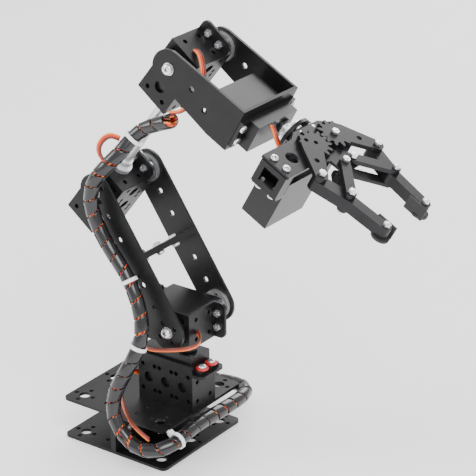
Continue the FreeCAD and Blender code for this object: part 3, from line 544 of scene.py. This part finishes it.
WIRE_RADIUS, BUNDLE_RADIUS, BUNDLE_PITCH = 0.72 * MM, 3.3 * MM, 95 * MM
WIRE_COLOURS = [ORANGE, RED, ORANGE, BROWN, RED, ORANGE, RED, BROWN, ORANGE, RED, ORANGE, BROWN]


def smooth_line(points, step):
    """Points at an even step along the smooth curve of a route given in millimetres."""
    curve = bpy.data.curves.new("route", "CURVE")
    curve.dimensions = "3D"
    spline = curve.splines.new("NURBS")
    spline.points.add(len(points) - 1)
    for point, place in zip(spline.points, points):
        point.co = (*(c * MM for c in place), 1)
    spline.use_endpoint_u = True
    spline.order_u = 3
    spline.resolution_u = 24
    piece = bpy.data.objects.new("route", curve)
    bpy.context.scene.collection.objects.link(piece)
    bpy.context.view_layer.update()
    graph = bpy.context.evaluated_depsgraph_get()
    mesh = bpy.data.meshes.new_from_object(piece.evaluated_get(graph))
    raw = [v.co.copy() for v in mesh.vertices]
    bpy.data.meshes.remove(mesh)
    bpy.data.objects.remove(piece)
    bpy.data.curves.remove(curve)
    run = [0.0]
    for before, after in zip(raw, raw[1:]):
        run.append(run[-1] + (after - before).length)
    count = max(2, round(run[-1] / step))
    even, n = [], 0
    for k in range(count + 1):
        want = run[-1] * k / count
        while n < len(run) - 2 and run[n + 1] < want:
            n += 1
        share = (want - run[n]) / max(run[n + 1] - run[n], 1e-9)
        even.append(raw[n].lerp(raw[n + 1], min(1.0, share)))
    return even, run[-1]


class Line:
    """A smooth line with a frame that turns along with it without twisting."""

    def __init__(self, points, step=0.8 * MM, start_side=None):
        self.points, self.length = smooth_line(points, step)
        self.ways = []
        for n in range(len(self.points)):
            back, ahead = self.points[max(0, n - 1)], self.points[min(len(self.points) - 1, n + 1)]
            self.ways.append((ahead - back).normalized())
        side = start_side or Z
        side = (side - self.ways[0] * side.dot(self.ways[0])).normalized()
        self.sides = [side]
        for before, after in zip(self.ways, self.ways[1:]):
            side = before.rotation_difference(after) @ self.sides[-1]
            self.sides.append((side - after * side.dot(after)).normalized())

    def at(self, distance):
        """Place, direction and side at a distance from the start."""
        share = max(0.0, min(1.0, distance / self.length)) * (len(self.points) - 1)
        n = min(int(share), len(self.points) - 2)
        t = share - n
        way = self.ways[n].lerp(self.ways[n + 1], t).normalized()
        side = self.sides[n].lerp(self.sides[n + 1], t).normalized()
        return self.points[n].lerp(self.points[n + 1], t), way, side

    def around(self, distance, radius, angle):
        """A point beside the line."""
        place, way, side = self.at(distance)
        return place + (side * math.cos(angle) + way.cross(side) * math.sin(angle)) * radius

    def nearest(self, place):
        """How far along the line it comes nearest to a place."""
        n = min(range(len(self.points)), key=lambda k: (self.points[k] - place).length)
        return self.length * n / (len(self.points) - 1)


def skin(name, rings, material):
    """A closed mesh through rings of points, with a cap at each end."""
    bm = bmesh.new()
    made = [[bm.verts.new(p) for p in ring] for ring in rings]
    count = len(made[0])
    for low, high in zip(made, made[1:]):
        for n in range(count):
            m = (n + 1) % count
            bm.faces.new((low[n], low[m], high[m], high[n]))
    bm.faces.new(list(reversed(made[0])))
    bm.faces.new(made[-1])
    return from_bmesh(name, bm, material)


def swell(distance):
    """How thick the bundle is, which varies slowly along it."""
    return 1 - 0.035 * (1 + math.sin(distance / (13 * MM)) * math.sin(distance / (31 * MM) + 1.0))


def wrap_turns(line, start, end):
    """The spiral wrap between two distances: one long band with gaps that vary."""
    step = WRAP_PITCH / WRAP_SEGMENTS
    first, last = math.ceil(start / step), math.floor(end / step)
    rings = []
    for k in range(first, last + 1):
        centre = k * step
        angle = 2 * math.pi * k / WRAP_SEGMENTS
        gap = WRAP_GAP * (1 + 0.8 * math.sin(centre / (23 * MM)) * math.sin(centre / (9.1 * MM)))
        half = (WRAP_PITCH - max(gap, WRAP_LEAST_GAP)) / 2
        outer = WRAP_RADIUS * swell(centre)
        inner = outer - WRAP_THICK
        profile = [
            (-half, inner), (-half, outer - 0.35 * MM), (-half + 0.3 * MM, outer - 0.08 * MM),
            (-half + 0.9 * MM, outer), (half - 0.9 * MM, outer),
            (half - 0.3 * MM, outer - 0.08 * MM), (half, outer - 0.35 * MM), (half, inner),
        ]
        rings.append([line.around(centre + d, r, angle) for d, r in profile])
    return skin("wrap", rings, WRAP)


def wire(line, start, end, index, count):
    """One wire of the bundle inside the wrap."""
    rings = []
    steps = max(2, round((end - start) / (2.2 * MM)))
    for k in range(steps + 1):
        distance = start + (end - start) * k / steps
        phase = 2 * math.pi * index / count + 2 * math.pi * distance / BUNDLE_PITCH
        phase += 0.25 * math.sin(distance / (17 * MM) + index)
        radius = BUNDLE_RADIUS * swell(distance)
        radius += 0.25 * MM * math.sin(distance / (7 * MM) + 2.1 * index)
        centre = line.around(distance, radius, phase)
        _, way, side = line.at(distance)
        other = way.cross(side)
        rings.append([
            centre + (side * math.cos(a) + other * math.sin(a)) * WIRE_RADIUS
            for a in (2 * math.pi * n / 7 for n in range(7))
        ])
    return skin("wire", rings, WIRE_COLOURS[index % len(WIRE_COLOURS)])


def between(first, second):
    """The point halfway between two points of the route, in metres."""
    return (Vector(ROUTE[first]) + Vector(ROUTE[second])) / 2 * MM


def set_body(piece, first, second):
    """Ride on one body, or stay fixed where it is built when it runs between two."""
    if second:
        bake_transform(piece)
    else:
        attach(piece, first)


def harness():
    """The spiral-wrapped bundle, one piece for each stretch."""
    line = Line(ROUTE)
    start, start_place = 0.0, Vector(ROUTE[0]) * MM
    for node, last, first_body, second_body in STRETCHES:
        if last < len(ROUTE) - 1:
            end_place = between(last, last + 1)
            end = line.nearest(end_place)
        else:
            end_place = Vector(ROUTE[-1]) * MM
            end = line.length
        made = [wrap_turns(line, start, end)]
        made += [wire(line, start, end, n, len(WIRE_COLOURS)) for n in range(len(WIRE_COLOURS))]
        piece = join(node + "_bundle", made)
        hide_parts(node)
        set_body(piece, first_body, second_body)
        start, start_place = end, end_place
    return line


TIE_WIDTH, TIE_THICK, TIE_SEGMENTS = 2.5 * MM, 1.0 * MM, 40
TIE_HEAD = (4.2 * MM, 3.4 * MM, 3.6 * MM)


def cable_tie(name, line, distance, turn, body, tail):
    """A nylon tie round the harness: strap, head and cut or loose tail."""
    place, way, side = line.at(distance)
    side = Matrix.Rotation(turn, 3, way) @ side
    other = way.cross(side)
    half_width, inner = TIE_WIDTH / 2, WRAP_RADIUS - 0.1 * MM
    outer = inner + TIE_THICK
    section = [
        (-half_width, inner), (-half_width, outer - 0.2 * MM), (-half_width + 0.2 * MM, outer),
        (half_width - 0.2 * MM, outer), (half_width, outer - 0.2 * MM), (half_width, inner),
    ]
    bm = bmesh.new()
    rings = []
    for k in range(TIE_SEGMENTS):
        angle = 2 * math.pi * k / TIE_SEGMENTS
        out = side * math.cos(angle) + other * math.sin(angle)
        rings.append([bm.verts.new(place + way * d + out * r) for d, r in section])
    for k in range(TIE_SEGMENTS):
        low, high = rings[k], rings[(k + 1) % TIE_SEGMENTS]
        for n in range(len(section)):
            m = (n + 1) % len(section)
            bm.faces.new((low[n], low[m], high[m], high[n]))
    strap = from_bmesh("strap", bm, TIE)
    bm = bmesh.new()
    bmesh.ops.create_cube(bm, size=1.0)
    bmesh.ops.scale(bm, verts=bm.verts, vec=TIE_HEAD)
    bmesh.ops.bevel(bm, geom=bm.edges, offset=0.5 * MM, segments=2, affect="EDGES", profile=0.6)
    block = from_bmesh("block", bm, TIE)
    block.data.transform(axes(other, side, place + side * (outer + 0.7 * MM)))
    pieces = [strap, block]
    if tail:
        rings = []
        for k in range(13):
            t = k / 12
            centre = place + side * (outer + 0.9 * MM + tail * t * 0.75)
            centre += other * tail * (0.75 * t * t) + way * tail * 0.25 * t * t
            lean = (side + other * 1.4 * t).normalized()
            flat = way.cross(lean).normalized()
            wide = (half_width if k < 11 else half_width * 0.55) * 0.95
            rings.append([
                centre + way * a * wide + flat * b * 0.5 * MM
                for a, b in ((-1, -1), (1, -1), (1, 1), (-1, 1))
            ])
        pieces.append(skin("tail", rings, TIE))
    piece = join(name, pieces)
    sharpen(piece, 40)
    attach(piece, body)


# ------------------------------------------------------------------ servo leads

LEADS = {
    "yaw_servo_lead": [[
        (-1.9, -6, 44), (-7, -10, 47), (-8, -19, 49), (-2, -30, 47.5), (7, -41, 42.5),
        (15, -46.5, 36), (25, -50, 30), (38, -52, 27),
    ]],
    "shoulder_servo_lead": [[
        (49.6, -13.5, 93), (55, -16, 91), (57, -23, 89), (53, -30, 88),
        (44, -33, 86), (35, -33.2, 83.5), (28, -36, 83), (25, -39, 85.5),
    ]],
    "forearm_leads": [
        [
            (-16.2, -17, 192.9), (-15.3, -20, 197.3), (-17.5, -25, 203), (-17.5, -27.3, 210.5),
            (-12.5, -27.5, 218), (-5.5, -27, 221.8), (-0.4, -25.8, 219.8),
        ],
        [
            (51.3, -13, 284.8), (56, -15, 284), (60.5, -18.5, 280), (63.5, -21.5, 272.5),
            (63, -23.4, 264), (57, -23.6, 255.5), (49.5, -23.4, 248.5), (43, -22.6, 245),
            (37, -21.6, 243.8),
        ],
    ],
    "hand_lead": [[
        (104.9, -8, 245.4), (108, -10, 243), (110, -10.5, 238), (111.2, -8.5, 232.5),
        (110.8, -6, 227), (111.1, -4.5, 223.2),
    ]],
}
RIBBON_SIDES = {
    "yaw_servo_lead": [Z], "shoulder_servo_lead": [Z], "forearm_leads": [X, Y], "hand_lead": [Y],
}
RIBBON_WIRE = 0.68 * MM


def ribbon(route, side):
    """A flat three-wire lead: orange, red and brown side by side."""
    line = Line(route, 1.0 * MM, side)
    wires = []
    steps = max(6, round(line.length / (1.2 * MM)))
    for index, material in enumerate((ORANGE, RED, BROWN)):
        shift = (index - 1) * 1.9 * RIBBON_WIRE
        rings = []
        for k in range(steps + 1):
            place, way, across = line.at(line.length * k / steps)
            up = way.cross(across)
            rings.append([
                place + across * (shift + RIBBON_WIRE * math.cos(a)) + up * RIBBON_WIRE * math.sin(a)
                for a in (2 * math.pi * n / 10 for n in range(10))
            ])
        wires.append(skin("wire", rings, material))
    return wires


def leads():
    """The servo leads."""
    for node, routes in LEADS.items():
        made = []
        for route, side in zip(routes, RIBBON_SIDES[node]):
            made += ribbon(route, side)
        piece = join(node + "_ribbon", made)
        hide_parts(node)
        if node == "hand_lead":
            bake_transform(piece)
        else:
            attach(piece, body_of[node])


harness_line = harness()
leads()
TIES = [
    ("tie_upper_arm", (12.5, -36.5, 128), 2.2, "upper_arm", 0.0),
    ("tie_base_side", (26, -44, 87), 2.6, "turret", 0.0),
    ("tie_base_front", (51.5, -38, 24), 0.9, "base", 9 * MM),
    ("tie_forearm", (7, -22, 221), 1.0, "forearm", 11 * MM),
]
for name, place, turn, body, tail in TIES:
    cable_tie(name, harness_line, harness_line.nearest(Vector(place) * MM), turn, body, tail)

# ------------------------------------------------------------------ camera and studio


def studio():
    """Floor and soft lights."""
    bm = bmesh.new()
    bmesh.ops.create_grid(bm, x_segments=1, y_segments=1, size=6.0)
    floor = from_bmesh("floor", bm, None, smooth=False)
    shader = Shader("pale_floor")
    place = shader.coordinates()
    cloud = shader.noise(place, 3.0)
    tint = shader.ramp(cloud, "Fac", [(0.2, (0.93, 0.93, 0.935)), (0.8, (0.95, 0.95, 0.952))])
    shader.link(tint, "Color", shader.surface, "Base Color")
    shader.set(Roughness=0.75, Emission_Color=(1, 1, 1, 1), Emission_Strength=0.28)
    floor.data.materials.append(shader.material)
    floor.location.z = -0.2 * MM
    world = bpy.data.worlds.new("studio")
    bpy.context.scene.world = world
    world.use_nodes = True
    world.node_tree.nodes["Background"].inputs["Color"].default_value = (1, 1, 1, 1)
    world.node_tree.nodes["Background"].inputs["Strength"].default_value = 1.0
    aim = Vector((0.05, 0, 0.15))
    for name, place, power, size in (
        ("key", (0.9, -0.7, 1.2), 22.0, 0.9),
        ("left", (-1.1, -0.9, 0.9), 16.0, 0.8),
        ("back", (-0.3, 1.3, 1.1), 18.0, 1.0),
    ):
        light = bpy.data.lights.new(name, "AREA")
        light.energy, light.size = power, size
        lamp = bpy.data.objects.new(name, light)
        bpy.context.scene.collection.objects.link(lamp)
        lamp.location = place
        lamp.rotation_euler = (aim - lamp.location).to_track_quat("-Z", "Y").to_euler()


def camera():
    """A long lens from the near right, a little above the arm."""
    azimuth, height, roll = math.radians(36.03), math.radians(23.39), math.radians(-0.38)
    target, distance = Vector((72.9, 0, 160.3)) * MM, 1268.9 * MM
    back = Vector((
        math.sin(azimuth) * math.cos(height), -math.cos(azimuth) * math.cos(height), math.sin(height)
    ))
    lens = bpy.data.cameras.new("camera")
    lens.lens, lens.sensor_width = 151.26, 36.0
    lens.clip_start, lens.clip_end = 0.05, 20.0
    eye = bpy.data.objects.new("camera", lens)
    bpy.context.scene.collection.objects.link(eye)
    eye.location = target + back * distance
    turn = (-back).to_track_quat("-Z", "Y").to_matrix().to_4x4() @ Matrix.Rotation(roll, 4, "Z")
    eye.rotation_euler = turn.to_euler()
    bpy.context.scene.camera = eye


studio()
camera()
